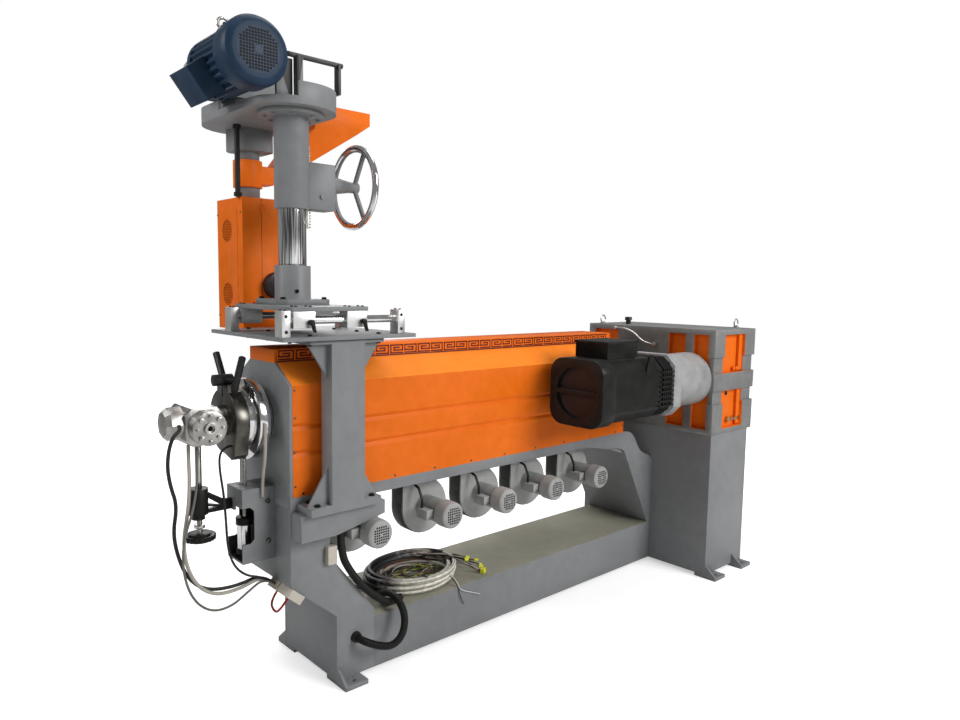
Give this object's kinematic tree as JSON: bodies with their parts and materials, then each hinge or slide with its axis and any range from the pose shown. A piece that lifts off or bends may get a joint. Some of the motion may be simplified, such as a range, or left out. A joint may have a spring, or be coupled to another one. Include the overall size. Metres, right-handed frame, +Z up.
{
  "type": "cable extruder",
  "caption": "Screw extruder for cable sheathing on a welded frame, with a crosshead, fans under its cover, and a vertical extruder that slides and lifts on a column.",
  "frame": {"origin": "on the floor, at the centre of the machine's length and depth, loose cables left out", "axes": "+X along the barrel from the crosshead to the gearbox, +Y away from the operator's side along the wire line, +Z up"},
  "size_m": [2.912, 1.096, 2.33],
  "materials": {
    "grey_paint": "satin grey machine paint",
    "orange_paint": "orange powder coat",
    "blue_paint": "blue enamel",
    "black_paint": "satin black paint",
    "steel": "machined steel",
    "dark_steel": "blackened steel",
    "chrome": "hard chrome",
    "aluminium": "anodised aluminium",
    "cast_paint": "light grey casting paint",
    "cable_grey": "braided and sheathed cable",
    "cable_black": "black rubber hose and cable",
    "cable_red": "red silicone cable"
  },
  "bodies": {
    "frame": {"front_side_plate": "grey_paint", "back_side_plate": "grey_paint", "front_leg": "grey_paint", "front_feet": "grey_paint", "lower_beam": "grey_paint", "rear_leg": "grey_paint", "beam_deck": "grey_paint", "front_end_plate": "grey_paint", "barrel_cover": "orange_paint", "barrel": "chrome", "head_clamp": "dark_steel", "crosshead": "steel", "support_rod": "steel", "jack_arm": "black_paint", "mount_box": "grey_paint", "air_cylinder": "black_paint", "pedestal": "grey_paint", "pedestal_feet": "grey_paint", "gearbox_case": "cast_paint", "feed_throat": "cast_paint", "main_motor": "black_paint", "terminal_box": "black_paint", "motor_adaptor": "aluminium", "fan_1": "cast_paint", "fan_2": "cast_paint", "fan_3": "cast_paint", "fan_4": "cast_paint", "fan_5": "cast_paint", "shelf_box": "grey_paint", "bracket_post": "grey_paint", "platform": "grey_paint", "slide_rails": "chrome", "rail_blocks": "aluminium", "leg_hose": "cable_black", "return_hose": "cable_black", "head_cable": "cable_grey", "heater_cable": "cable_grey", "sensor_cable": "cable_grey", "ring_hose": "cable_grey", "clamp_cable": "cable_grey", "red_cable": "cable_red", "cable_coil": "cable_grey"},
    "carriage": {"carriage_plate": "grey_paint", "bearing_blocks": "aluminium", "column_base": "grey_paint", "column": "chrome", "rack": "steel"},
    "lift": {"sleeve": "grey_paint", "rack_box": "grey_paint", "bed": "grey_paint", "drive_housing": "grey_paint", "reducer": "grey_paint", "vertical_motor": "blue_paint", "vertical_throat": "orange_paint", "hopper": "orange_paint", "vertical_cover": "orange_paint"},
    "handwheel": {"handwheel": "chrome"},
    "jack_wheel": {"jack_handwheel": "black_paint"},
    "left_lever": {"left_clamp_lever": "black_paint"},
    "right_lever": {"right_clamp_lever": "black_paint"}
  },
  "joints": [
    {"name": "carriage_slide", "type": "slide", "parent": "frame", "child": "carriage", "axis": [1, 0, 0], "range_m": [-0.005, 0.12]},
    {"name": "sleeve_lift", "type": "slide", "parent": "carriage", "child": "lift", "axis": [0, 0, 1], "range_m": [-0.085, 0.1]},
    {"name": "handwheel_turn", "type": "hinge", "parent": "lift", "child": "handwheel", "pos_m": [-0.8395, 0.021, 1.838], "axis": [1, 0, 0], "range_deg": [-400, 470]},
    {"name": "jack_turn", "type": "hinge", "parent": "frame", "child": "jack_wheel", "pos_m": [-1.3325, 0.058, 0.6], "axis": [0, 0, 1], "continuous": true},
    {"name": "left_lever_turn", "type": "hinge", "parent": "carriage", "child": "left_lever", "pos_m": [-1.0795, -0.256, 1.352], "axis": [0, -1, 0], "range_deg": [-40, 40]},
    {"name": "right_lever_turn", "type": "hinge", "parent": "carriage", "child": "right_lever", "pos_m": [-0.8795, -0.256, 1.352], "axis": [0, -1, 0], "range_deg": [-40, 40]}
  ],
  "couplings": [
    {"joint": "handwheel_turn", "follows": "sleeve_lift", "rad_per_m": 80}
  ]
}
